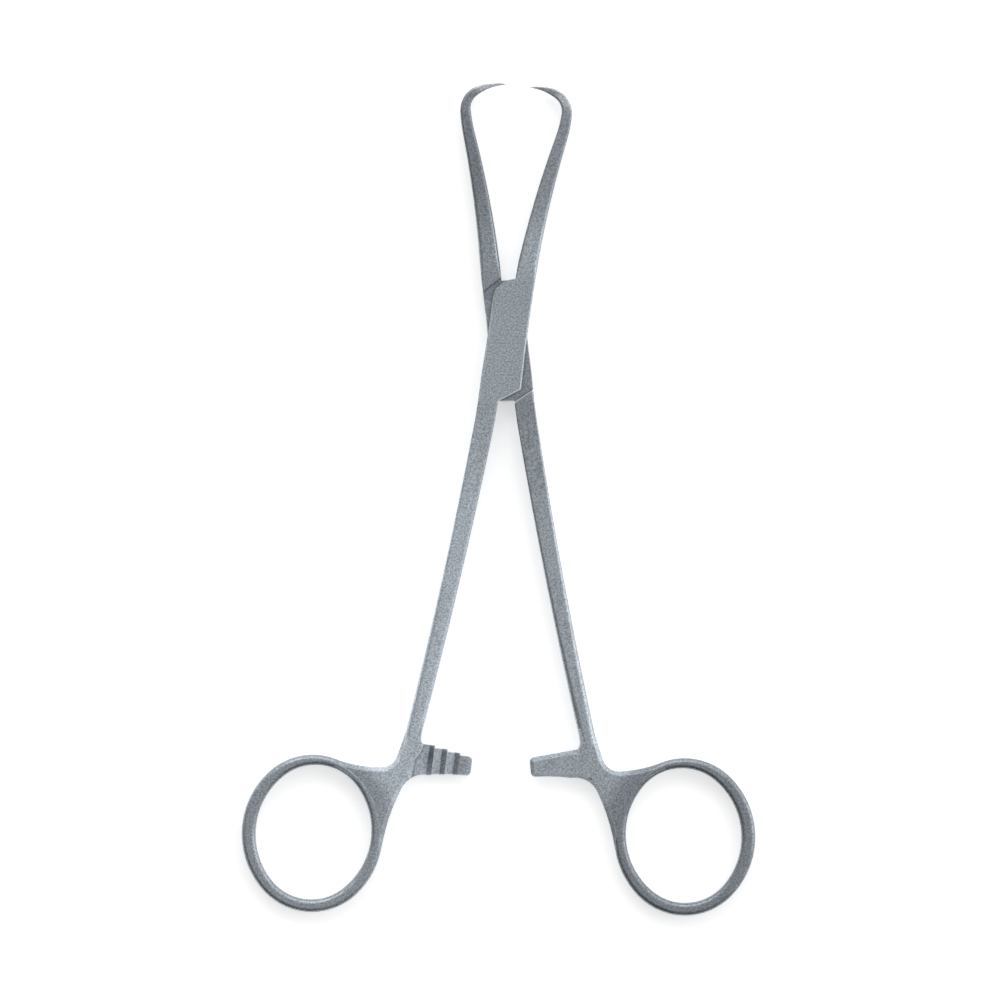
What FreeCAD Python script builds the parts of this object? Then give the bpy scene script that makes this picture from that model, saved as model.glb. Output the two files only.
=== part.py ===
import FreeCAD, Part
import Sketcher
import math
import os

# Glenoid perforating forceps: two forged halves joined by a box lock, with a pin through it.
# Each half is drawn in its own frame: the pivot at the origin, the mid-plane of the forging at
# z = 0, the jaw towards +Y on the +X side and the finger ring towards -Y on the -X side.
# The male half is the mirror image, so it is drawn the same way and then mirrored.
# Lengths are in millimetres and angles in degrees.

V = FreeCAD.Vector
EDGE_MATCH = 1e-3
FLANK_SHARE = 0.9

doc = FreeCAD.newDocument("perforating_forceps")
sheet = doc.addObject("Spreadsheet::Sheet", "sizes")

SIZES = [
    # How far a cut runs past the metal that it takes away
    ("cut_overshoot", 1.0),
    # How the two halves stand at rest
    ("rest_half_angle", 6.475),
    # Box lock
    ("box_thickness", 5.4),
    ("box_half_width", 4.3),
    ("box_waist_radius", 420.0),
    ("box_edge", 0.3),
    ("tongue_thickness", 2.3),
    ("slot_play", 0.06),
    ("tongue_reach", 13.1),
    ("slot_end_play", 0.3),
    ("box_flank", 4.6),
    ("box_flank_y", 7.5),
    ("box_root", 13.6),
    ("cheek_top", 10.4),
    ("cheek_knee_x", 2.2),
    ("cheek_knee_y", 12.8),
    ("cheek_end", 10.0),
    ("cheek_end_root", 13.2),
    ("shoulder_top", 11.1),
    ("shoulder_top_slope", 33.0),
    ("shoulder_end", 11.2),
    ("shoulder_end_slope", 28.0),
    # Pin
    ("pin_radius", 1.6),
    ("pin_play", 0.03),
    ("pin_flare", 0.3),
    # Jaw, as four bends one after another, each with its length, its turn and its end section
    ("jaw_inner_x", 0.0),
    ("straight_length", 4.0),
    ("female_straight_turn", -4.1),
    ("male_straight_turn", -0.3),
    ("straight_width", 4.25),
    ("straight_depth", 5.2),
    ("sweep_length", 27.6),
    ("sweep_turn", -6.8),
    ("sweep_width", 2.6),
    ("sweep_depth", 3.1),
    ("ease_length", 5.2),
    ("ease_width", 2.3),
    ("ease_depth", 2.8),
    ("corner_length", 5.5),
    ("corner_turn", 69.0),
    ("corner_width", 1.7),
    ("corner_depth", 2.0),
    ("female_hook_length", 5.8),
    ("male_hook_length", 6.65),
    ("hook_turn", 30.0),
    ("hook_width", 0.14),
    ("hook_depth", 0.14),
    ("corner_share", 0.22),
    # Shank
    ("shank_inner_x", 0.3),
    ("neck_length", 4.0),
    ("neck_turn", -3.6),
    ("neck_width", 4.3),
    ("neck_depth", 5.2),
    ("shank_length", 72.0),
    ("shank_turn", -3.6),
    ("shank_width", 3.4),
    ("shank_depth", 3.9),
    ("shank_round", 1.25),
    # Finger ring: a drop is a distance in -Y from the end of the shank
    ("ring_x", 27.75),
    ("female_ring_drop", 21.2),
    ("male_ring_drop", 20.55),
    ("ring_half_long", 14.6),
    ("ring_half_short", 12.5),
    ("ring_band_end", 2.42),
    ("ring_band_side", 2.75),
    ("ring_rim_lean", 5.5),
    ("ring_rim_shift_x", 0.22),
    ("ring_rim_shift_y", 0.3),
    ("ring_depth", 3.9),
    ("ring_round", 0.95),
    # Web between shank, ring and ratchet arm
    ("web_depth", 3.8),
    ("web_bevel", 0.85),
    ("web_top_drop", -4.6),
    ("web_top_inner_x", 7.3),
    ("web_top_outer_x", 10.4),
    ("web_outer_radius", 3.75),
    ("web_outer_x", 15.6),
    ("web_outer_drop", 1.7),
    ("web_outer_start", -13.0),
    ("web_outer_end", -84.0),
    ("web_saddle_radius", 28.0),
    ("web_saddle_end", 70.0),
    ("web_lap_top", 80.0),
    ("web_lap_middle", 34.0),
    ("web_lap_end", -12.0),
    ("web_side_start", -9.0),
    ("web_side_radius", 45.0),
    ("web_under_radius", 5.3),
    ("web_under_x", 5.1),
    ("web_under_drop", 11.1),
    ("web_under_start", 161.0),
    ("web_under_end", 128.0),
    ("female_crotch_radius", 1.4),
    ("male_crotch_radius", 2.1),
    # Ratchet arm
    ("female_arm_top_drop", -0.8),
    ("male_arm_top_drop", -0.2),
    ("female_arm_tip_x", 4.3),
    ("male_arm_tip_x", 3.85),
    ("arm_tip_top_drop", 0.55),
    ("arm_tip_bottom_drop", 4.8),
    ("arm_tip_round", 1.0),
    ("arm_lower_radius", 45.0),
    ("arm_under_start", 135.0),
    ("arm_under_end", 88.0),
    ("arm_root_x", 6.6),
    ("arm_root_radius", 6.0),
    ("arm_root_foot_x", 7.9),
    ("arm_root_foot_drop", 2.4),
    ("tooth_ridge", 0.4),
    ("tooth_height", 0.75),
    ("tooth_pitch", 2.83),
    ("tooth_face", 1.15),
    ("tooth_first_x", 4.1),
    ("tooth_last_drop", 0.45),
]

for row, (alias, value) in enumerate(SIZES, start=1):
    sheet.set("A%d" % row, alias)
    sheet.set("B%d" % row, str(value))
    sheet.setAlias("B%d" % row, alias)
doc.recompute()


class Term:
    """A number kept together with the sheet expression that gives it."""

    def __init__(self, value, text):
        self.value = value
        self.text = text

    def __add__(self, other):
        other = term(other)
        return Term(self.value + other.value, "(%s + %s)" % (self.text, other.text))

    def __sub__(self, other):
        other = term(other)
        return Term(self.value - other.value, "(%s - %s)" % (self.text, other.text))

    def __mul__(self, other):
        other = term(other)
        return Term(self.value * other.value, "(%s * %s)" % (self.text, other.text))

    def __truediv__(self, other):
        other = term(other)
        return Term(self.value / other.value, "(%s / %s)" % (self.text, other.text))

    def __neg__(self):
        return Term(-self.value, "(0 - %s)" % self.text)

    def __radd__(self, other):
        return term(other) + self

    def __rsub__(self, other):
        return term(other) - self

    def __rmul__(self, other):
        return term(other) * self

    def __rtruediv__(self, other):
        return term(other) / self


def term(value):
    """Return a plain number as a Term, and a Term unchanged."""
    if isinstance(value, Term):
        return value
    return Term(float(value), "(%.6f)" % value)


def size(alias):
    """Return a value of the sheet as a Term."""
    return Term(float(sheet.get(alias)), "sizes.%s" % alias)


def sine(angle):
    """Return the sine of an angle in degrees."""
    return Term(math.sin(math.radians(angle.value)), "sin(%s)" % angle.text)


def cosine(angle):
    """Return the cosine of an angle in degrees."""
    return Term(math.cos(math.radians(angle.value)), "cos(%s)" % angle.text)


def tangent(angle):
    """Return the tangent of an angle in degrees."""
    return sine(angle) / cosine(angle)


def chord(radius, x):
    """Return the height of a circle about the pivot at x."""
    square = radius * radius - x * x
    return Term(math.sqrt(square.value), "sqrt(%s)" % square.text)


def drop(alias):
    """Return the y of a place that the sheet gives as a drop from the end of the shank."""
    return -(size("box_root") + size("neck_length") + size("shank_length") + size(alias))


def bind(item, prop, value):
    """Drive one property of an object with a Term."""
    item.setExpression(prop, value.text)


def sketch_on(body, name, role, lift=None):
    """Start a sketch on one of the body's origin planes, lifted along its normal."""
    sketch = body.newObject("Sketcher::SketchObject", name)
    plane = [item for item in body.Origin.OriginFeatures if item.Role == role][0]
    sketch.AttachmentSupport = [(plane, "")]
    sketch.MapMode = "FlatFace"
    if lift is not None:
        bind(sketch, "AttachmentOffset.Base.z", lift)
    return sketch


def name_size(sketch, kind, label, value, *where):
    """Add one dimension to a sketch and drive it with a Term."""
    amount = math.radians(value.value) if kind == "Angle" else value.value
    index = sketch.addConstraint(Sketcher.Constraint(kind, *where, amount))
    sketch.renameConstraint(index, label)
    bind(sketch, "Constraints.%s" % label, value)


def outline(sketch, corners, label=""):
    """Draw a closed outline through corners (x, y).

    A corner with a third value is reached by an arc of that radius: counter-clockwise when the
    radius is positive and clockwise when it is negative.
    """
    corners = [tuple(term(value) for value in corner) for corner in corners]
    count = len(corners)
    ends = []
    for index in range(count):
        start = corners[index - 1]
        end = corners[index]
        first = V(start[0].value, start[1].value, 0)
        last = V(end[0].value, end[1].value, 0)
        if len(end) == 2:
            edge = sketch.addGeometry(Part.LineSegment(first, last), False)
            ends.append((edge, 1, 2))
            continue
        radius = end[2]
        left, right = (first, last) if radius.value > 0 else (last, first)
        chord = right - left
        reach = abs(radius.value)
        rise = math.sqrt(reach ** 2 - (chord.Length / 2) ** 2)
        across = V(-chord.y, chord.x, 0).normalize()
        centre = (left + right) * 0.5 + across * rise
        angles = [math.atan2(p.y - centre.y, p.x - centre.x) for p in (left, right)]
        arc = Part.ArcOfCircle(Part.Circle(centre, V(0, 0, 1), reach), *angles)
        edge = sketch.addGeometry(arc, False)
        ends.append((edge, 1, 2) if radius.value > 0 else (edge, 2, 1))
        arc_radius = radius if radius.value > 0 else -radius
        name_size(sketch, "Radius", "%sradius_%d" % (label, index), arc_radius, edge)
    for index in range(count):
        edge, start, end = ends[index]
        following = ends[(index + 1) % count]
        sketch.addConstraint(Sketcher.Constraint("Coincident", edge, end, following[0], following[1]))
        name_size(sketch, "DistanceX", "%sx_%d" % (label, index), corners[index][0], -1, 1, edge, end)
        name_size(sketch, "DistanceY", "%sy_%d" % (label, index), corners[index][1], -1, 1, edge, end)


def circle(sketch, radius):
    """Draw a circle about the pivot."""
    line = sketch.addGeometry(Part.Circle(V(0, 0, 0), V(0, 0, 1), radius.value), False)
    sketch.addConstraint(Sketcher.Constraint("Coincident", line, 3, -1, 1))
    name_size(sketch, "Radius", "radius", radius, line)


def section(body, name, x, y, heading, width, depth, corner):
    """Draw a round-cornered section across a path that passes (x, y) at a heading from +Y."""
    sketch = sketch_on(body, name, "XZ_Plane", -y)
    sketch.AttachmentOffset = FreeCAD.Placement(V(), FreeCAD.Rotation(V(0, 1, 0), 1))
    bind(sketch, "AttachmentOffset.Base.x", x)
    bind(sketch, "AttachmentOffset.Base.z", -y)
    bind(sketch, "AttachmentOffset.Rotation.Angle", heading)
    half = width.value / 2
    rise = depth.value / 2
    bend = corner.value
    sides = []
    for a, b in (
        ((bend - half, -rise), (half - bend, -rise)),
        ((half, bend - rise), (half, rise - bend)),
        ((half - bend, rise), (bend - half, rise)),
        ((-half, rise - bend), (-half, bend - rise)),
    ):
        sides.append(sketch.addGeometry(Part.LineSegment(V(*a, 0), V(*b, 0)), False))
    arcs = []
    for quarter, (a, b) in enumerate(((1, -1), (1, 1), (-1, 1), (-1, -1))):
        round_corner = Part.Circle(V(a * (half - bend), b * (rise - bend), 0), V(0, 0, 1), bend)
        turn = math.radians(90 * (quarter - 1))
        arc = Part.ArcOfCircle(round_corner, turn, turn + math.pi / 2)
        arcs.append(sketch.addGeometry(arc, False))
    for index in range(4):
        sketch.addConstraint(Sketcher.Constraint("Tangent", sides[index], 2, arcs[index], 1))
        sketch.addConstraint(Sketcher.Constraint("Tangent", arcs[index], 2, sides[(index + 1) % 4], 1))
        sketch.addConstraint(Sketcher.Constraint(("Horizontal", "Vertical")[index % 2], sides[index]))
    for index in range(3):
        sketch.addConstraint(Sketcher.Constraint("Equal", arcs[index], arcs[index + 1]))
    sketch.addConstraint(Sketcher.Constraint("Symmetric", sides[0], 1, sides[2], 1, -1, 1))
    name_size(sketch, "DistanceX", "width", width, sides[3], 1, sides[1], 2)
    name_size(sketch, "DistanceY", "depth", depth, sides[0], 1, sides[2], 2)
    name_size(sketch, "Radius", "corner", corner, arcs[0])
    return sketch


def pad(body, name, sketch, length, symmetric=True):
    """Raise an outline into a solid, to both sides of its plane or to one."""
    feature = body.newObject("PartDesign::Pad", name)
    feature.Profile = sketch
    feature.SideType = "Symmetric" if symmetric else "One side"
    bind(feature, "Length", length)
    sketch.Visibility = False
    return feature


def pocket(body, name, sketch, length, symmetric=True):
    """Cut an outline out of the solid, to both sides of its plane or to one."""
    feature = body.newObject("PartDesign::Pocket", name)
    feature.Profile = sketch
    feature.SideType = "Symmetric" if symmetric else "One side"
    bind(feature, "Length", length)
    sketch.Visibility = False
    return feature


def loft(body, name, sections, straight=False):
    """Run a solid through a list of sections, smoothly or in straight steps."""
    feature = body.newObject("PartDesign::AdditiveLoft", name)
    feature.Ruled = straight
    feature.Profile = sections[0]
    feature.Sections = sections[1:]
    return feature


def follow(body, prefix, start, bends):
    """Place sections along a path of bends and return them.

    start is (x, y, heading, width, depth, corner). A bend is (steps, length, turn, width, depth,
    corner), and its width, depth and corner are reached evenly at its end.
    """
    x, y, heading, width, depth, corner = start
    sections = [section(body, prefix + "_0", x, y, heading, width, depth, corner)]
    for steps, length, turn, end_width, end_depth, end_corner in bends:
        for step in range(1, steps + 1):
            along = heading + turn * ((step - 0.5) / steps)
            x = x - length / steps * sine(along)
            y = y + length / steps * cosine(along)
            part = step / steps
            sections.append(section(
                body, "%s_%d" % (prefix, len(sections)), x, y, heading + turn * part,
                width + (end_width - width) * part,
                depth + (end_depth - depth) * part,
                corner + (end_corner - corner) * part,
            ))
        heading, width, depth, corner = heading + turn, end_width, end_depth, end_corner
    return sections


def root_section(left, right, y):
    """Return the start of a path that leaves an end of the box squarely, between two x values."""
    return (left + right) / 2, y, term(0), right - left, size("box_thickness"), size("box_edge")


def add_jaw(body, half_name):
    """Add the jaw: it leaves the box, sweeps out and hooks in to a sharp point."""
    lean = size(half_name + "_straight_turn")
    path = (
        ("straight", 1, size("straight_length"), lean),
        ("sweep", 6, size("sweep_length"), size("sweep_turn")),
        ("ease", 4, size("ease_length"), -(lean + size("sweep_turn"))),
        ("corner", 3, size("corner_length"), size("corner_turn")),
        ("hook", 3, size(half_name + "_hook_length"), size("hook_turn")),
    )
    bends = []
    for name, steps, length, turn in path:
        width = size(name + "_width")
        bends.append((steps, length, turn, width, size(name + "_depth"), width * size("corner_share")))
    start = root_section(size("jaw_inner_x"), size("box_half_width"), size("box_root"))
    sections = follow(body, "jaw_section", start, bends)
    bend = 1 + sum(steps for name, steps, length, turn in path[:3])
    loft(body, "jaw", sections[:bend], straight=True)
    return loft(body, "hook", sections[bend - 1:])


def add_shank(body):
    """Add the shank: a flat bar at the box that grows rounder and slimmer towards the ring."""
    start = root_section(-size("box_flank"), -size("shank_inner_x"), -size("box_root"))
    corner = size("box_edge")
    bends = [
        (1, -size("neck_length"), size("neck_turn"), size("neck_width"), size("neck_depth"), corner),
        (8, -size("shank_length"), size("shank_turn"), size("shank_width"), size("shank_depth"),
         size("shank_round")),
    ]
    return loft(body, "shank", follow(body, "shank_section", start, bends), straight=True)


def oval(x, y, across, along, lean):
    """Return the corners of an oval of four tangent arcs about (x, y).

    The arcs meet where the outline runs at 45 degrees to the oval's axes, and its long axis leans
    from +Y towards -X.
    """
    share = sine(term(45))
    bend = 1 / share - 1
    end_radius = (across - along * bend) / (2 - 2 * share)
    side_radius = (along - across * bend) / (2 - 2 * share)
    corner_x = end_radius * share
    corner_y = along - end_radius * (1 - share)
    corners = []
    arcs = ((1, -1, end_radius), (1, 1, side_radius), (-1, 1, end_radius), (-1, -1, side_radius))
    for right, up, radius in arcs:
        side, rise = corner_x * right, corner_y * up
        corners.append((
            x + side * cosine(lean) - rise * sine(lean),
            y + side * sine(lean) + rise * cosine(lean),
            radius,
        ))
    return corners


def join(body, blank, name):
    """Unite a blank that was shaped in a body of its own with the forging."""
    joined = body.newObject("PartDesign::Boolean", name)
    joined.Type = "Fuse"
    joined.addObject(blank)
    doc.recompute()
    return joined


def ring_centre(half_name):
    """Return the middle of the finger ring's hole."""
    return -size("ring_x"), drop(half_name + "_ring_drop")


def on_rim(half_name, angle, inset=0):
    """Return the point of the ring's outer edge, or a little inside it, at an angle from +X."""
    x, y = ring_centre(half_name)
    across = size("ring_half_short") + size("ring_band_side") - inset
    along = size("ring_half_long") + size("ring_band_end") - inset
    angle = term(angle)
    side, rise = across * cosine(angle), along * sine(angle)
    lean = size("ring_rim_lean")
    return (
        x - size("ring_rim_shift_x") + side * cosine(lean) - rise * sine(lean),
        y - size("ring_rim_shift_y") + side * sine(lean) + rise * cosine(lean),
    )


def add_ring(body, half_name):
    """Add the finger ring: an oval band, a little heavier at its sides, rounded all round."""
    blank = doc.addObject("PartDesign::Body", half_name + "_ring")
    x, y = ring_centre(half_name)
    across, along = size("ring_half_short"), size("ring_half_long")
    rim_x, rim_y = x - size("ring_rim_shift_x"), y - size("ring_rim_shift_y")
    rim_across, rim_along = across + size("ring_band_side"), along + size("ring_band_end")
    sketch = sketch_on(blank, "ring_outline", "XY_Plane")
    outline(sketch, oval(x, y, across, along, term(0)), "hole_")
    outline(sketch, oval(rim_x, rim_y, rim_across, rim_along, size("ring_rim_lean")), "rim_")
    band = pad(blank, "ring_band", sketch, size("ring_depth"))
    doc.recompute()
    height = size("ring_depth") / 2
    soften(blank, "ring_edges", band, size("ring_round"), lambda edge, middle: level(edge, height))
    return join(body, blank, "ring")


def polar(x, y, radius, angle):
    """Return the point at an angle on a circle about (x, y)."""
    angle = term(angle)
    return x + radius * cosine(angle), y + radius * sine(angle)


def soften(body, name, base, radius, chosen, chamfer=False):
    """Round or bevel the edges of a feature that a test picks by their middle point."""
    picked = []
    for index, edge in enumerate(base.Shape.Edges, start=1):
        middle = edge.valueAt((edge.FirstParameter + edge.LastParameter) / 2)
        if chosen(edge, middle):
            picked.append("Edge%d" % index)
    feature = body.newObject("PartDesign::Chamfer" if chamfer else "PartDesign::Fillet", name)
    feature.Base = (base, picked)
    bind(feature, "Size" if chamfer else "Radius", radius)
    doc.recompute()
    return feature


def level(edge, height):
    """Tell whether an edge lies flat at a height above or below the mid-plane."""
    box = edge.BoundBox
    return box.ZLength < EDGE_MATCH and abs(abs(box.ZMax) - height.value) < EDGE_MATCH


def add_box(body, tongue):
    """Add the box-lock block: its ends are the cheek ends, or arcs about the pivot for a tongue."""
    half = size("box_half_width")
    flank = size("box_flank")
    root = size("box_root")
    waist = size("box_waist_radius")
    reach = size("tongue_reach")
    jaw_inner, shank_inner = size("jaw_inner_x"), -size("shank_inner_x")
    if tongue:
        end = [(shank_inner, -chord(reach, shank_inner)), (half, -chord(reach, half), reach)]
        top = [(jaw_inner, chord(reach, jaw_inner)), (-half, chord(reach, half), reach)]
    else:
        end = [(shank_inner, -size("cheek_end_root")), (half, -size("cheek_end"))]
        top = [(-size("cheek_knee_x"), size("cheek_knee_y")), (-half, size("cheek_top"))]
    sketch = sketch_on(body, "box_outline", "XY_Plane")
    outline(sketch, [
        (-flank, -root), (shank_inner, -root), *end, (half, root, -waist), (jaw_inner, root), *top,
        (-flank, -size("box_flank_y"), -waist),
    ])
    block = pad(body, "box_block", sketch, size("box_thickness"))
    doc.recompute()
    height = size("box_thickness") / 2

    def outside(edge, middle):
        return level(edge, height) and abs(middle.x) > half.value * FLANK_SHARE

    return soften(body, "box_edges", block, size("box_edge"), outside, chamfer=True)


def add_web(body, half_name):
    """Add the flat web that joins the shank, the finger ring and the ratchet arm."""
    outer_x, outer_y, outer = -size("web_outer_x"), drop("web_outer_drop"), size("web_outer_radius")
    under_x, under_y, under = -size("web_under_x"), drop("web_under_drop"), size("web_under_radius")
    inset = size("ring_band_side") / 2
    hollow = -size("ring_half_long")
    top_y, top_inner_x = drop("web_top_drop"), -size("web_top_inner_x")
    foot_x, foot_y = -size("arm_root_foot_x"), drop("arm_root_foot_drop")
    arm_top = drop(half_name + "_arm_top_drop")
    crotch = size(half_name + "_crotch_radius")
    sketch = sketch_on(body, "web_outline", "XY_Plane")
    outline(sketch, [
        (top_inner_x, top_y),
        (-size("web_top_outer_x"), top_y),
        polar(outer_x, outer_y, outer, size("web_outer_start")),
        (*polar(outer_x, outer_y, outer, size("web_outer_end")), -outer),
        (*on_rim(half_name, size("web_saddle_end")), -size("web_saddle_radius")),
        on_rim(half_name, size("web_lap_top"), inset),
        (*on_rim(half_name, size("web_lap_middle"), inset), hollow),
        (*on_rim(half_name, size("web_lap_end"), inset), hollow),
        on_rim(half_name, size("web_side_start")),
        (*polar(under_x, under_y, under, size("web_under_start")), -size("web_side_radius")),
        (*polar(under_x, under_y, under, size("web_under_end")), -under),
        (foot_x, foot_y),
        (-size("arm_root_x"), arm_top, size("arm_root_radius")),
        (top_inner_x, arm_top + crotch, -crotch),
    ])
    web = pad(body, "web", sketch, size("web_depth"))
    doc.recompute()
    height = size("web_depth") / 2
    ring_x, ring_y = ring_centre(half_name)
    ring_reach = size("ring_half_long") + size("ring_band_end") / 2

    def outside(edge, middle):
        clear_of_ring = math.hypot(middle.x - ring_x.value, middle.y - ring_y.value) > ring_reach.value
        below_top = middle.y < top_y.value - EDGE_MATCH
        return level(edge, height) and clear_of_ring and below_top and middle.x < foot_x.value

    return soften(body, "web_edges", web, size("web_bevel"), outside, chamfer=True)


def add_arm(body, half_name, facing):
    """Add the half-thick ratchet arm: facing is 1 when its teeth look to +Z and -1 for -Z."""
    under_x, under_y, under = -size("web_under_x"), drop("web_under_drop"), size("web_under_radius")
    tip = size(half_name + "_arm_tip_x")
    top, bottom = drop("arm_tip_top_drop"), drop("arm_tip_bottom_drop")
    bend = size("arm_tip_round")
    ridge, pitch = size("tooth_ridge"), size("tooth_pitch")
    back = size("web_depth") / 2
    root_top = drop(half_name + "_arm_top_drop")
    upper = [(-size("arm_root_x"), root_top)]
    if facing > 0:
        upper = []
        step = (root_top - top) / 3
        for count in range(3):
            x = pitch * (2 - count) - size("tooth_first_x")
            upper += [(x, top + step * count), (x, top + step * (count + 1))]
    blank = doc.addObject("PartDesign::Body", half_name + "_arm")
    sketch = sketch_on(blank, "arm_outline", "XY_Plane", (ridge - back) / 2 * facing)
    outline(sketch, [
        (tip, top - bend), (tip - bend, top, bend), *upper,
        (-size("arm_root_foot_x"), root_top),
        polar(under_x, under_y, under, size("arm_under_start")),
        (*polar(under_x, under_y, under, size("arm_under_end")), -under),
        (tip - bend, bottom, -size("arm_lower_radius")), (tip, bottom + bend, bend),
    ])
    arm = pad(blank, "arm_bar", sketch, back + ridge)
    doc.recompute()
    inner_end = polar(under_x, under_y, under, size("arm_under_start"))[0]

    def lower(edge, middle):
        on_smooth_face = level(edge, back) and middle.z * facing < 0
        return on_smooth_face and middle.y < bottom.value and middle.x > inner_end.value

    soften(blank, "arm_edge", arm, size("web_bevel"), lower, chamfer=True)
    add_teeth(blank, half_name, facing)
    return join(body, blank, "arm")


def add_teeth(body, half_name, facing):
    """Cut the saw teeth of the ratchet: each has a steep face towards its own ring."""
    ridge, pitch = size("tooth_ridge"), size("tooth_pitch")
    land = ridge - size("tooth_height")
    face = size("tooth_face")
    first = -size("tooth_first_x")
    last = first + pitch * 2
    past = ridge + size("cut_overshoot")
    root_end = first - pitch * 2
    tip_end = size(half_name + "_arm_tip_x") + size("cut_overshoot")
    valleys = {
        "root": [(first, ridge), (first - face, land), (root_end, land), (root_end, past), (first, past)],
        "tooth": [(first + pitch, ridge), (first + pitch - face, land), (first, ridge), (first, past),
                  (first + pitch, past)],
        "end": [(last, ridge), (last, past), (tip_end, past), (tip_end, ridge - size("tooth_last_drop"))],
    }
    top, bottom = drop(half_name + "_arm_top_drop"), drop("arm_tip_bottom_drop")
    for name, corners in valleys.items():
        sketch = sketch_on(body, name + "_valley", "XZ_Plane", -(top + bottom) / 2)
        outline(sketch, [(x, z * facing) for x, z in corners])
        cut = pocket(body, name + "_cut", sketch, (top - bottom) * 2)
        if name == "tooth":
            row = body.newObject("PartDesign::LinearPattern", "tooth_row")
            row.Originals = [cut]
            row.Direction = (sketch, ["H_Axis"])
            bind(row, "Length", pitch)
            row.Occurrences = 2
            body.Tip = row
        doc.recompute()


def cut_recesses(body):
    """Cut the front and back of the male half down to the tongue, between slanted shoulders."""
    half = size("box_half_width")
    wide = half + size("cut_overshoot")
    top, rise = size("shoulder_top"), tangent(size("shoulder_top_slope"))
    end, fall = -size("shoulder_end"), tangent(size("shoulder_end_slope"))
    for name, side in (("recess_front", 1), ("recess_back", -1)):
        sketch = sketch_on(body, name, "XY_Plane", size("tongue_thickness") / 2 * side)
        outline(sketch, [
            (wide, top + (half - wide) * rise), (-wide, top + (half + wide) * rise),
            (-wide, end - (half - wide) * fall), (wide, end - (half + wide) * fall),
        ])
        cut = pocket(body, name + "_cut", sketch, size("box_thickness"), False)
        cut.Reversed = side > 0


def cut_slot(body):
    """Cut the slot of the female half, which the tongue turns in."""
    sketch = sketch_on(body, "slot_outline", "XY_Plane")
    circle(sketch, size("tongue_reach") + size("slot_end_play"))
    pocket(body, "slot", sketch, size("tongue_thickness") + size("slot_play") * 2)


def drill(body, radius):
    """Drill the pin's hole and return the cut."""
    sketch = sketch_on(body, "pin_hole_outline", "XY_Plane")
    circle(sketch, radius)
    bore = pocket(body, "pin_hole", sketch, size("box_thickness") + size("cut_overshoot"))
    doc.recompute()
    return bore


def make_half(name, half_name, facing):
    """Build one half of the forceps as a body of its own."""
    body = doc.addObject("PartDesign::Body", name)
    add_box(body, half_name == "male")
    add_web(body, half_name)
    add_jaw(body, half_name)
    add_shank(body)
    add_ring(body, half_name)
    add_arm(body, half_name, facing)
    if half_name == "male":
        cut_recesses(body)
        drill(body, size("pin_radius") + size("pin_play"))
        return body
    cut_slot(body)
    bore = drill(body, size("pin_radius"))
    height, pin_radius = size("box_thickness") / 2, size("pin_radius").value

    def rim(edge, middle):
        return level(edge, height) and abs(getattr(edge.Curve, "Radius", 0) - pin_radius) < EDGE_MATCH

    soften(body, "pin_flares", bore, size("pin_flare"), rim, chamfer=True)
    return body


def make_pin():
    """Build the pin: it is pressed through both cheeks and its ends flare into them, flush."""
    body = doc.addObject("PartDesign::Body", "lock_pin")
    radius, flare = size("pin_radius"), size("pin_flare")
    height = size("box_thickness") / 2
    sketch = sketch_on(body, "pin_profile", "XZ_Plane")
    outline(sketch, [
        (0, -height), (radius + flare, -height), (radius, flare - height),
        (radius, height - flare), (radius + flare, height), (0, height),
    ])
    turn = body.newObject("PartDesign::Revolution", "pin_turning")
    turn.Profile = sketch
    turn.ReferenceAxis = (sketch, ["V_Axis"])
    turn.Angle = 360
    return body


def lay_down(item, angle):
    """Place a piece so that the box rests on z = 0, turned about the pivot by an angle."""
    item.Placement = FreeCAD.Placement(V(), FreeCAD.Rotation(V(0, 0, 1), 1))
    bind(item, "Placement.Base.z", size("box_thickness") / 2)
    bind(item, "Placement.Rotation.Angle", angle)


female_half = make_half("female_half", "female", 1)
male_forging = make_half("male_forging", "male", -1)
male_half = doc.addObject("Part::Mirroring", "male_half")
male_half.Source = male_forging
male_half.Normal = V(1, 0, 0)
lock_pin = make_pin()
lay_down(female_half, -size("rest_half_angle"))
lay_down(male_half, size("rest_half_angle"))
lay_down(lock_pin, -size("rest_half_angle"))
doc.recompute()

for item in doc.Objects:
    if any(word in ("Invalid", "Error") for word in item.State):
        raise RuntimeError("%s could not be built: %s" % (item.Name, item.State))

os.makedirs("parts", exist_ok=True)
for piece in (female_half, male_half, lock_pin):
    shape = piece.Shape
    if shape.isNull() or not shape.isValid() or len(shape.Solids) != 1:
        raise RuntimeError("%s is not one sound solid" % piece.Label)
    shape.exportStep("parts/%s.step" % piece.Label)
    print(piece.Label, round(shape.Volume, 1), shape.BoundBox)
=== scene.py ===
import math
from collections import namedtuple

import bmesh
import bpy
from mathutils import Matrix, Vector


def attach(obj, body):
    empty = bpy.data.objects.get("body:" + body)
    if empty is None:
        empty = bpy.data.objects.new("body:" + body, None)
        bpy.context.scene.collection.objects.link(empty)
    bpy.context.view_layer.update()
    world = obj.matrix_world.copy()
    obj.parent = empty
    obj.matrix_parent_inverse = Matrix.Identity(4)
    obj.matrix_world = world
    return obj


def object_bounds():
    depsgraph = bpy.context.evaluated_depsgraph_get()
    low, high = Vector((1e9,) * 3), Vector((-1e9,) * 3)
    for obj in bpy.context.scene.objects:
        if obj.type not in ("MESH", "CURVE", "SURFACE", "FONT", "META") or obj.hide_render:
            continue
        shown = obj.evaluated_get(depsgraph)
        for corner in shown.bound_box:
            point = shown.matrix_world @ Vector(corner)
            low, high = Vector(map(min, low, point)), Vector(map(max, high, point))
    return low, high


# Looks of the perforating forceps: satin steel on the two halves and the pin of the CAD part, small
# fillings at the roots of the ratchet arms, and a plain studio whose camera looks straight down.
# Lengths and places are in metres, counted from the pin's axis and the back face.

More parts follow.
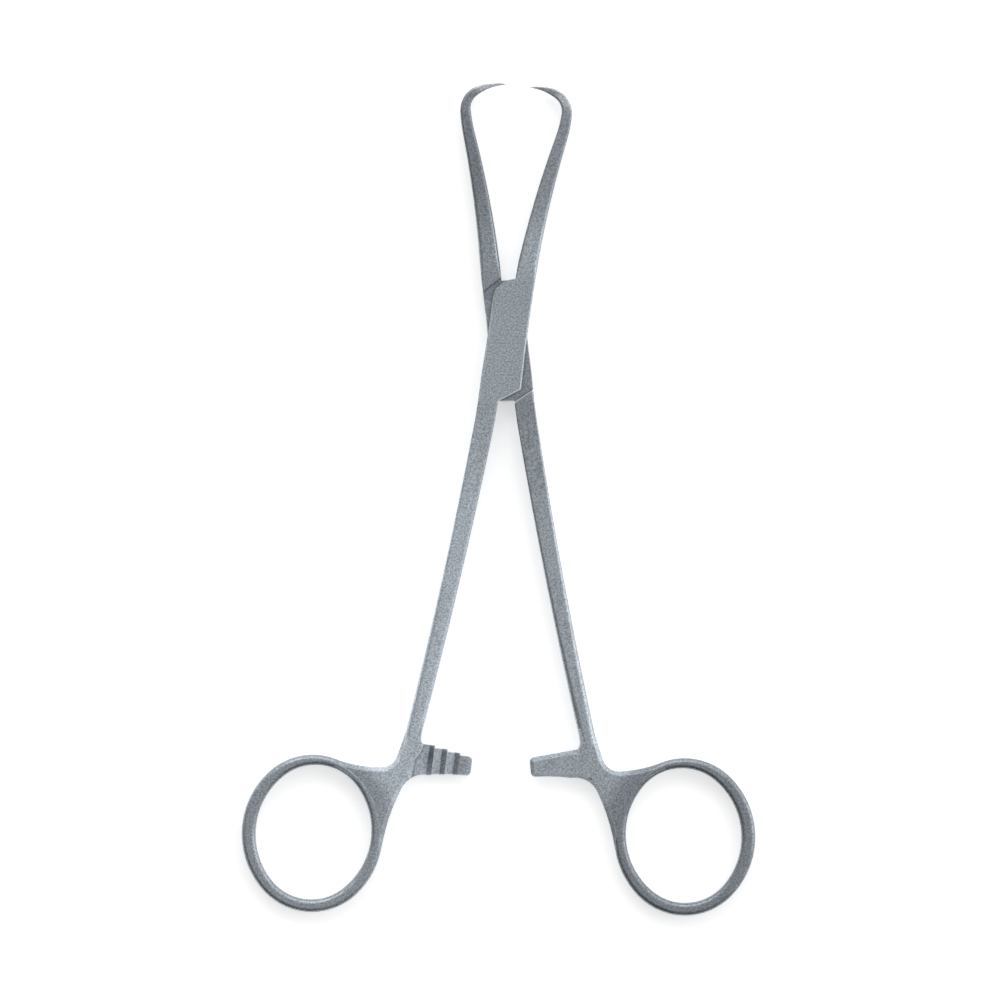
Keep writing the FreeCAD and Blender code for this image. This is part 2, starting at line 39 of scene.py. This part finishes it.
bl_info = {
    "name": "Perforating Forceps Look",
    "version": (1, 0, 0),
    "blender": (4, 5, 0),
    "location": "View3D > Sidebar > Forceps",
    "description": "Dresses the forceps in satin steel and lays them on a studio floor",
    "category": "Object",
}

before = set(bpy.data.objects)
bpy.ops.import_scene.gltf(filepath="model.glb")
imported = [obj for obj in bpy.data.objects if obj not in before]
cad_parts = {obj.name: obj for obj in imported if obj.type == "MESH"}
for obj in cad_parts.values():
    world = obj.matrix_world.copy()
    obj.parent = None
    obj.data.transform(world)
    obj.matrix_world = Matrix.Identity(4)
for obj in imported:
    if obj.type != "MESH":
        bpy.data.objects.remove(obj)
SOLID_LOW, SOLID_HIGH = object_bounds()
HEIGHT = SOLID_HIGH.z - SOLID_LOW.z
MIDDLE = HEIGHT / 2

# The floor lies this far under the back face, so that the two don't coincide.
FLOOR_GAP = 0.00002

# Stretches along the forceps over which the finish changes, towards the jaws
BOX_FADE = (-0.045, -0.015)
JAW_FADE = (0.018, 0.034)

# A spot with a finish of its own, which fades out between two distances from its centre
Spot = namedtuple("Spot", "centre full end")

# Around the pin, at the upper end of the box and in the arm roots no edge gets the edge wear and
# painted highlight.
FLUSH = (
    Spot((0.0, 0.0, MIDDLE), full=0.0036, end=0.0042),
    Spot((-0.0050, 0.0115, 0.0050), full=0.0048, end=0.0066),
    Spot((0.01926, -0.0926, 0.00435), full=0.0022, end=0.0032),
    Spot((-0.01931, -0.09265, 0.00105), full=0.0022, end=0.0032),
)
# Painted highlight on the outer curves of the two hooks.
HOOK_HIGHLIGHTS = (
    Spot((-0.0056, 0.0566, MIDDLE), full=0.0022, end=0.0042),
    Spot((0.0131, 0.0539, MIDDLE), full=0.0026, end=0.0044),
)
# Painted shade: the two finger rings and the ratchet teeth are darkened.
PAINTED_SHADE_SPOTS = (
    Spot((-0.04007, -0.10696, MIDDLE), full=0.016, end=0.020),
    Spot((0.03999, -0.10632, MIDDLE), full=0.016, end=0.020),
    Spot((-0.0115, -0.0909, 0.0040), full=0.004, end=0.0065),
)

# Ranges of a noise, a cover or a slope that make a mask run from 0 to 1
PIT_RANGE = (0.32, 0.68)
WEAR_AND_HIGHLIGHT_RANGE = (0.02, 0.42)
FACING_UP = (-0.5, 0.0)
NOISE_MEAN = 0.5
COVER_SAMPLES = 12


# Shader values


class Value:
    """A shader socket that takes part in Python expressions by adding Math nodes."""

    def __init__(self, shader, socket):
        self.shader = shader
        self.socket = socket

    def _math(self, operation, first, second):
        return self.shader.node("ShaderNodeMath", {"operation": operation}, {0: first, 1: second})

    def __add__(self, other):
        return self._math("ADD", self, other)

    def __radd__(self, other):
        return self._math("ADD", other, self)

    def __sub__(self, other):
        return self._math("SUBTRACT", self, other)

    def __rsub__(self, other):
        return self._math("SUBTRACT", other, self)

    def __mul__(self, other):
        return self._math("MULTIPLY", self, other)

    def __rmul__(self, other):
        return self._math("MULTIPLY", other, self)


class Shader:
    """The node tree of one material or of the world."""

    def __init__(self, owner):
        owner.use_nodes = True
        self.tree = owner.node_tree
        self.tree.nodes.clear()

    def node(self, kind, settings=None, inputs=None, output=0):
        """Add a node, set it up, fill its sockets with values or links, and return an output."""
        made = self.tree.nodes.new(kind)
        for name, value in (settings or {}).items():
            setattr(made, name, value)
        for name, value in (inputs or {}).items():
            if isinstance(value, Value):
                self.tree.links.new(value.socket, made.inputs[name])
            else:
                made.inputs[name].default_value = value
        if not made.outputs:
            return None
        return Value(self, made.outputs[output])

    def mix(self, factor, first, second):
        """Blend two colours."""
        return self.node(
            "ShaderNodeMix", {"data_type": "RGBA"}, {0: factor, 6: first, 7: second}, 2
        )

    def part(self, vector, axis):
        """Return one axis of a vector."""
        return self.node("ShaderNodeSeparateXYZ", {}, {"Vector": vector}, axis)

    def step(self, value, start, full, curve="SMOOTHSTEP"):
        """Return 0 at one value and 1 at another, with a run between."""
        return self.node(
            "ShaderNodeMapRange", {"interpolation_type": curve},
            {"Value": value, "From Min": start, "From Max": full},
        )

    def near(self, place, spot):
        """Return 1 within a spot, falling to 0 at its end."""
        reach = self.node(
            "ShaderNodeVectorMath", {"operation": "DISTANCE"}, {0: place, 1: spot.centre}, "Value"
        )
        return self.step(reach, spot.end, spot.full)

    def noise(self, place, size, detail, roughness):
        """Return noise whose waves are of one size."""
        return self.node(
            "ShaderNodeTexNoise", {"noise_dimensions": "3D"},
            {"Vector": place, "Scale": 1 / size, "Detail": detail, "Roughness": roughness},
        )

    def cover(self, reach, **settings):
        """Return how much lies over the surface within a distance, or behind it if inside is set."""
        settings["samples"] = COVER_SAMPLES
        return 1 - self.node("ShaderNodeAmbientOcclusion", settings, {"Distance": reach}, "AO")


def grey(level):
    """Return a neutral colour."""
    return (level, level, level, 1.0)


def shade(colour, level):
    """Return a colour made darker or lighter."""
    return tuple(channel * level for channel in colour[:3]) + (1.0,)


# Sizes, colours and levels that a user would change


class SteelLook(bpy.types.PropertyGroup):
    """The finish of the forged steel."""

    colour: bpy.props.FloatVectorProperty(
        name="Colour", description="Colour of the clean steel", subtype="COLOR",
        size=4, min=0, max=1, default=(0.57, 0.63, 0.69, 1.0),
    )
    female_tone: bpy.props.FloatProperty(
        name="Female half", description="Brightness of the female half's steel",
        subtype="FACTOR", min=0, max=1.5, default=1.35,
    )
    male_tone: bpy.props.FloatProperty(
        name="Male half", description="Brightness of the male half's steel",
        subtype="FACTOR", min=0, max=1.5, default=1.05,
    )
    box_tone: bpy.props.FloatProperty(
        name="Box lock", description="Brightness at the box lock, against the shanks",
        subtype="FACTOR", min=0, max=1, default=0.75,
    )
    # Painted shade on the rings and the ratchet teeth
    ring_shade_tone: bpy.props.FloatProperty(
        name="Rings and teeth", description="Brightness at the rings and the ratchet teeth",
        subtype="FACTOR", min=0, max=1, default=0.64,
    )
    jaw_tone: bpy.props.FloatProperty(
        name="Jaws", description="Brightness at the jaws, against the shanks",
        subtype="FACTOR", min=0, max=1, default=0.52,
    )
    roughness: bpy.props.FloatProperty(
        name="Roughness", description="Roughness of the satin finish", min=0, max=1, default=0.36,
    )
    grain: bpy.props.FloatProperty(
        name="Grain", description="Distance between the blasted pits", unit="LENGTH",
        min=1e-5, default=0.00036,
    )
    grain_depth: bpy.props.FloatProperty(
        name="Grain depth", description="Depth of the blasted pits", unit="LENGTH",
        min=0, default=0.00001,
    )
    grain_contrast: bpy.props.FloatProperty(
        name="Grain contrast", description="How much darker a pit is than the steel around it",
        subtype="FACTOR", min=0, max=1, default=0.5,
    )
    grain_gloss: bpy.props.FloatProperty(
        name="Grain gloss", description="How much the roughness varies between pits",
        subtype="FACTOR", min=0, max=1, default=0.06,
    )
    cloud: bpy.props.FloatProperty(
        name="Clouds", description="Size of the faint clouds in the finish", unit="LENGTH",
        min=1e-4, default=0.0111111,
    )
    cloud_contrast: bpy.props.FloatProperty(
        name="Cloud contrast", description="How much the clouds darken the steel",
        subtype="FACTOR", min=0, max=1, default=0.24,
    )
    cloud_gloss: bpy.props.FloatProperty(
        name="Cloud gloss", description="How much the roughness varies between clouds",
        subtype="FACTOR", min=0, max=1, default=0.12,
    )
    # Colour of the edge wear and of the painted highlights on the edges and the hooks
    wear_and_highlight_colour: bpy.props.FloatVectorProperty(
        name="Worn colour", description="Colour of the steel rubbed bright along the edges",
        subtype="COLOR", size=4, min=0, max=1, default=(0.78, 0.82, 0.86, 1.0),
    )
    # Width of the edge wear and painted highlight along a sharp edge
    wear_and_highlight_reach: bpy.props.FloatProperty(
        name="Worn edge", description="Width of the bright line along a sharp edge",
        unit="LENGTH", min=0, default=0.0003,
    )
    # Strength of the painted highlight on the outer curves of the hooks
    hook_highlight: bpy.props.FloatProperty(
        name="Polish", description="How bright the outer curves of the hooks are rubbed",
        subtype="FACTOR", min=0, max=1, default=0.75,
    )
    # Painted shade in the joints and corners: its reach, and below it its darkest brightness
    crevice_shade_reach: bpy.props.FloatProperty(
        name="Crevice", description="Reach of the dull film in the joints and corners",
        unit="LENGTH", min=0, default=0.0008,
    )
    crevice_shade_tone: bpy.props.FloatProperty(
        name="Crevice tone", description="Brightness of the steel at the bottom of a joint",
        subtype="FACTOR", min=0, max=1, default=0.2,
    )


class ArmRoots(bpy.types.PropertyGroup):
    """The fillings of the shallow grooves at the roots of the two ratchet arms."""

    right_place: bpy.props.FloatVectorProperty(
        name="Right", description="Middle of the right arm's filling, just under the front face",
        size=3, subtype="TRANSLATION", unit="LENGTH", default=(0.019258, -0.092592, 0.004347),
    )
    left_place: bpy.props.FloatVectorProperty(
        name="Left", description="Middle of the left arm's filling, just above the back face",
        size=3, subtype="TRANSLATION", unit="LENGTH", default=(-0.01931, -0.09265, 0.001053),
    )
    length: bpy.props.FloatProperty(
        name="Length", description="Length along the groove", unit="LENGTH", default=0.00375,
    )
    width: bpy.props.FloatProperty(
        name="Width", description="Width across the groove", unit="LENGTH", default=0.0008,
    )
    depth: bpy.props.FloatProperty(
        name="Depth", description="Height of the filling", unit="LENGTH", default=0.0005,
    )
    slope: bpy.props.FloatProperty(
        name="Slope", description="Length of the sloped lower end", unit="LENGTH", default=0.00025,
    )
    turn: bpy.props.FloatProperty(
        name="Turn", description="Angle between a groove and the forceps' length",
        unit="ROTATION", default=math.radians(14.5),
    )


class StudioSetup(bpy.types.PropertyGroup):
    """The floor, the lamps, the room and the camera."""

    picture_width: bpy.props.FloatProperty(
        name="Picture width", description="Width of floor that the picture shows",
        unit="LENGTH", default=0.21635,
    )
    picture_centre: bpy.props.FloatVectorProperty(
        name="Picture centre", description="Place on the floor at the middle of the picture",
        size=2, subtype="TRANSLATION", unit="LENGTH", default=(-0.00098, -0.03442),
    )
    picture_roll: bpy.props.FloatProperty(
        name="Picture roll", description="Turn of the camera about its own line of sight",
        unit="ROTATION", default=math.radians(1.0),
    )
    camera_distance: bpy.props.FloatProperty(
        name="Camera distance", description="Height of the camera above the forceps",
        unit="LENGTH", default=2.0,
    )
    floor_size: bpy.props.FloatProperty(
        name="Floor size", description="Side of the square floor", unit="LENGTH", default=6.0,
    )
    floor_tone: bpy.props.FloatProperty(
        name="Floor tone", description="Brightness of the floor's own colour",
        subtype="FACTOR", min=0, max=1, default=0.86,
    )
    floor_glow: bpy.props.FloatProperty(
        name="Floor glow", description="Light added to the floor where it is seen or mirrored",
        subtype="FACTOR", min=0, max=1, default=0.5,
    )
    room_lean: bpy.props.FloatVectorProperty(
        name="Room lean", description="How strongly the room brightens to the right and to the jaws",
        size=2, subtype="XYZ", default=(0.4, 0.9),
    )
    room_dark: bpy.props.FloatProperty(
        name="Dark side", description="Brightness of the room behind the rings", default=0.1,
    )
    room_bright: bpy.props.FloatProperty(
        name="Bright side", description="Brightness of the room beyond the jaws", default=1.3,
    )
    key_place: bpy.props.FloatVectorProperty(
        name="Key place", description="Place of the soft lamp on the right, from the centre",
        size=3, subtype="TRANSLATION", unit="LENGTH", default=(1.0, 0.15, 0.45),
    )
    key_size: bpy.props.FloatVectorProperty(
        name="Key size", description="Width and height of the soft lamp on the right",
        size=2, subtype="XYZ", unit="LENGTH", default=(0.6, 0.9),
    )
    key_power: bpy.props.FloatProperty(
        name="Key power", description="Power of the soft lamp on the right",
        unit="POWER", default=1.5,
    )
    fill_place: bpy.props.FloatVectorProperty(
        name="Fill place", description="Place of the lamp beyond the jaws, from the centre",
        size=3, subtype="TRANSLATION", unit="LENGTH", default=(-0.2, 0.9, 0.9),
    )
    fill_size: bpy.props.FloatVectorProperty(
        name="Fill size", description="Width and height of the lamp beyond the jaws",
        size=2, subtype="XYZ", unit="LENGTH", default=(0.9, 0.4),
    )
    fill_power: bpy.props.FloatProperty(
        name="Fill power", description="Power of the lamp beyond the jaws",
        unit="POWER", default=2.2,
    )


# Materials


def zone_tones(shader, look, place, steel):
    """Darken the box and the jaws, paint shade on the rings and the teeth, and paint highlights on
    the hooks.
    """
    along = shader.part(place, "Y")
    colour = shader.mix(shader.step(along, *BOX_FADE), steel, shade(steel, look.box_tone))
    colour = shader.mix(shader.step(along, *JAW_FADE), colour, shade(steel, look.jaw_tone))
    # Painted shade on the rings and the ratchet teeth
    for spot in PAINTED_SHADE_SPOTS:
        colour = shader.mix(shader.near(place, spot), colour, shade(steel, look.ring_shade_tone))
    # Painted highlight on the outer curves of the hooks
    for spot in HOOK_HIGHLIGHTS:
        bright = shader.near(place, spot) * look.hook_highlight
        colour = shader.mix(bright, colour, tuple(look.wear_and_highlight_colour))
    return colour


def worn_and_highlit_edges(shader, look, place):
    """Mask the sharp edges for edge wear and painted highlight, but not those that are ground flush.
    """
    wear_and_highlight = shader.step(shader.cover(look.wear_and_highlight_reach, inside=True, only_local=True), *WEAR_AND_HIGHLIGHT_RANGE)
    for spot in FLUSH:
        wear_and_highlight = wear_and_highlight * (1 - shader.near(place, spot))
    return wear_and_highlight


def painted_crevice_shade(shader, look):
    """Mask the painted shade in the joints and corners, except on faces that look down."""
    upward = shader.part(shader.node("ShaderNodeNewGeometry", output="Normal"), "Z")
    return shader.cover(look.crevice_shade_reach) * shader.step(upward, *FACING_UP)


def steel_material(look, name, tone):
    """Satin, bead-blasted stainless steel with painted shade in the joints and corners and edges
    lightened as wear and painted highlight.
    """
    material = bpy.data.materials.new(name)
    steel = shade(look.colour, tone)
    shader = Shader(material)
    place = shader.node("ShaderNodeTexCoord", output="Object")
    pits = shader.noise(place, look.grain, detail=1.0, roughness=0.6)
    clouds = shader.noise(place, look.cloud, detail=3.0, roughness=0.55)
    pitting = (1 - shader.step(pits, *PIT_RANGE, curve="LINEAR")) * look.grain_contrast
    bump = shader.node(
        "ShaderNodeBump", {}, {"Strength": 0.5, "Distance": look.grain_depth, "Height": pits}
    )
    colour = zone_tones(shader, look, place, steel)
    colour = shader.mix(clouds * look.cloud_contrast, colour, grey(0.0))
    colour = shader.mix(pitting, colour, grey(0.0))
    # Sharp edges lightened: edge wear and painted highlight
    colour = shader.mix(worn_and_highlit_edges(shader, look, place), colour, tuple(look.wear_and_highlight_colour))
    # Painted shade in the joints and corners
    colour = shader.mix(painted_crevice_shade(shader, look), colour, shade(steel, look.crevice_shade_tone))
    roughness = look.roughness + (clouds - NOISE_MEAN) * look.cloud_gloss
    roughness = roughness + (pits - NOISE_MEAN) * look.grain_gloss
    surface = shader.node(
        "ShaderNodeBsdfPrincipled", {},
        {"Base Color": colour, "Metallic": 1.0, "Roughness": roughness, "Normal": bump},
    )
    shader.node("ShaderNodeOutputMaterial", {}, {"Surface": surface})
    return material


def floor_material(setup):
    """White floor: it takes the shadow, and looks white to the camera and in the steel."""
    material = bpy.data.materials.new("studio_floor")
    shader = Shader(material)
    seen = (
        shader.node("ShaderNodeLightPath", output="Is Camera Ray")
        + shader.node("ShaderNodeLightPath", output="Is Glossy Ray")
        + shader.node("ShaderNodeLightPath", output="Is Transmission Ray")
    )
    surface = shader.node(
        "ShaderNodeBsdfPrincipled", {},
        {
            "Base Color": grey(setup.floor_tone),
            "Roughness": 0.95,
            "Emission Color": shader.mix(seen, grey(0.0), grey(setup.floor_glow)),
            "Emission Strength": 1.0,
        },
    )
    shader.node("ShaderNodeOutputMaterial", {}, {"Surface": surface})
    return material


def room_light(setup):
    """Soft room that is dark behind the rings and bright beyond the jaws."""
    world = bpy.data.worlds.new("studio_room")
    room = Shader(world)
    direction = room.node("ShaderNodeTexCoord", output="Generated")
    rightward, jawward = setup.room_lean
    lean = room.part(direction, "X") * rightward + room.part(direction, "Y") * jawward
    level = setup.room_dark + room.step(lean, -1.0, 1.0) * (setup.room_bright - setup.room_dark)
    glow = room.node("ShaderNodeBackground", {}, {"Color": grey(1.0), "Strength": level})
    room.node("ShaderNodeOutputWorld", {}, {"Surface": glow})
    return world


# Pieces


def dress(node, material):
    """Give a CAD piece its finish."""
    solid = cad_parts[node]
    solid.data.materials.clear()
    solid.data.materials.append(material)


def fill_groove(context, name, body, material, place, turn):
    """Lay a small block with a sloped lower end in the groove at one arm's root."""
    root = context.scene.forceps_roots
    shape = bmesh.new()
    bmesh.ops.create_cube(shape, size=1.0)
    bmesh.ops.scale(shape, vec=(root.width, root.length, root.depth), verts=shape.verts)
    lower = [edge for edge in shape.edges if all(v.co.y < 0 < v.co.z for v in edge.verts)]
    bmesh.ops.bevel(
        shape, geom=lower, offset=root.slope, affect="EDGES", segments=1,
        profile=0.5, material=-1,
    )
    bmesh.ops.rotate(shape, cent=(0, 0, 0), matrix=turn, verts=shape.verts)
    bmesh.ops.translate(shape, vec=place, verts=shape.verts)
    mesh = bpy.data.meshes.new(name)
    shape.to_mesh(mesh)
    shape.free()
    piece = bpy.data.objects.new(name, mesh)
    context.scene.collection.objects.link(piece)
    mesh.materials.append(bpy.data.materials[material])
    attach(piece, body)


# Stage


def add_lamp(context, name, from_centre, size, power):
    """Hang a soft rectangular lamp that looks at the middle of the picture."""
    lamp = bpy.data.lights.new(name, "AREA")
    lamp.shape = "RECTANGLE"
    lamp.size, lamp.size_y = size
    lamp.energy = power
    holder = bpy.data.objects.new(name, lamp)
    offset = Vector(from_centre)
    holder.location = Vector((*context.scene.forceps_studio.picture_centre, 0)) + offset
    holder.rotation_euler = (-offset).to_track_quat("-Z", "Y").to_euler()
    context.scene.collection.objects.link(holder)


def add_camera(context, setup):
    """Look straight down, so that the picture is as wide as it should be at the floor's distance."""
    camera = bpy.data.cameras.new("camera")
    camera.lens = camera.sensor_width * setup.camera_distance / setup.picture_width
    holder = bpy.data.objects.new("camera", camera)
    context.scene.collection.objects.link(holder)
    place = Matrix.Translation((*setup.picture_centre, MIDDLE + setup.camera_distance))
    holder.matrix_world = place @ Matrix.Rotation(setup.picture_roll, 4, "Z")
    context.scene.camera = holder


# Operators and panel


class FORCEPS_OT_female_half(bpy.types.Operator):
    """Finish the half with the slot"""

    bl_idname = "forceps.female_half"
    bl_label = "Female half"

    def execute(self, context):
        look = context.scene.forceps_steel
        dress("female_half", steel_material(look, "female_steel", look.female_tone))
        return {"FINISHED"}


class FORCEPS_OT_male_half(bpy.types.Operator):
    """Finish the half with the tongue"""

    bl_idname = "forceps.male_half"
    bl_label = "Male half"

    def execute(self, context):
        look = context.scene.forceps_steel
        dress("male_half", steel_material(look, "male_steel", look.male_tone))
        return {"FINISHED"}


class FORCEPS_OT_arm_roots(bpy.types.Operator):
    """Close the shallow grooves where the ratchet arms run into their webs"""

    bl_idname = "forceps.arm_roots"
    bl_label = "Arm roots"

    def execute(self, context):
        root = context.scene.forceps_roots
        front = Matrix.Rotation(root.turn, 3, "Z")
        back = Matrix.Rotation(-root.turn, 3, "Z") @ Matrix.Rotation(math.pi, 3, "Y")
        fill_groove(context, "right_arm_root", "male", "male_steel", root.right_place, front)
        fill_groove(context, "left_arm_root", "female", "female_steel", root.left_place, back)
        return {"FINISHED"}


class FORCEPS_OT_pin(bpy.types.Operator):
    """Finish the flush pin of the box lock"""

    bl_idname = "forceps.pin"
    bl_label = "Lock pin"

    def execute(self, context):
        look = context.scene.forceps_steel
        dress("lock_pin", steel_material(look, "pin_steel", look.female_tone))
        return {"FINISHED"}


class FORCEPS_OT_studio(bpy.types.Operator):
    """Add the floor, the room, the lamps and the camera"""

    bl_idname = "forceps.studio"
    bl_label = "Studio"

    def execute(self, context):
        setup = context.scene.forceps_studio
        bpy.ops.mesh.primitive_plane_add(size=setup.floor_size, location=(0, 0, -FLOOR_GAP))
        floor = context.active_object
        floor.name = "studio_floor"
        floor.data.materials.append(floor_material(setup))
        context.scene.world = room_light(setup)
        add_lamp(context, "key_lamp", setup.key_place, setup.key_size, setup.key_power)
        add_lamp(context, "fill_lamp", setup.fill_place, setup.fill_size, setup.fill_power)
        add_camera(context, setup)
        context.scene.view_settings.view_transform = "Standard"
        return {"FINISHED"}


class FORCEPS_PT_panel(bpy.types.Panel):
    """Sidebar panel of the forceps"""

    bl_idname = "FORCEPS_PT_panel"
    bl_label = "Perforating forceps"
    bl_space_type = "VIEW_3D"
    bl_region_type = "UI"
    bl_category = "Forceps"

    def draw(self, context):
        scene = context.scene
        for group in (scene.forceps_steel, scene.forceps_roots, scene.forceps_studio):
            for name in group.__annotations__:
                self.layout.prop(group, name)
        for operator in OPERATORS:
            self.layout.operator(operator.bl_idname)


OPERATORS = (
    FORCEPS_OT_female_half, FORCEPS_OT_male_half, FORCEPS_OT_arm_roots, FORCEPS_OT_pin,
    FORCEPS_OT_studio,
)
CLASSES = (SteelLook, ArmRoots, StudioSetup, *OPERATORS, FORCEPS_PT_panel)


def register():
    """Add the classes and their properties to the program."""
    for item in CLASSES:
        bpy.utils.register_class(item)
    bpy.types.Scene.forceps_steel = bpy.props.PointerProperty(type=SteelLook)
    bpy.types.Scene.forceps_roots = bpy.props.PointerProperty(type=ArmRoots)
    bpy.types.Scene.forceps_studio = bpy.props.PointerProperty(type=StudioSetup)


def unregister():
    """Take them out again."""
    del bpy.types.Scene.forceps_studio
    del bpy.types.Scene.forceps_roots
    del bpy.types.Scene.forceps_steel
    for item in reversed(CLASSES):
        bpy.utils.unregister_class(item)


def main():
    """Register the add-on and run its operators in order."""
    register()
    bpy.ops.forceps.female_half()
    bpy.ops.forceps.male_half()
    bpy.ops.forceps.arm_roots()
    bpy.ops.forceps.pin()
    bpy.ops.forceps.studio()


if __name__ == "__main__":
    main()
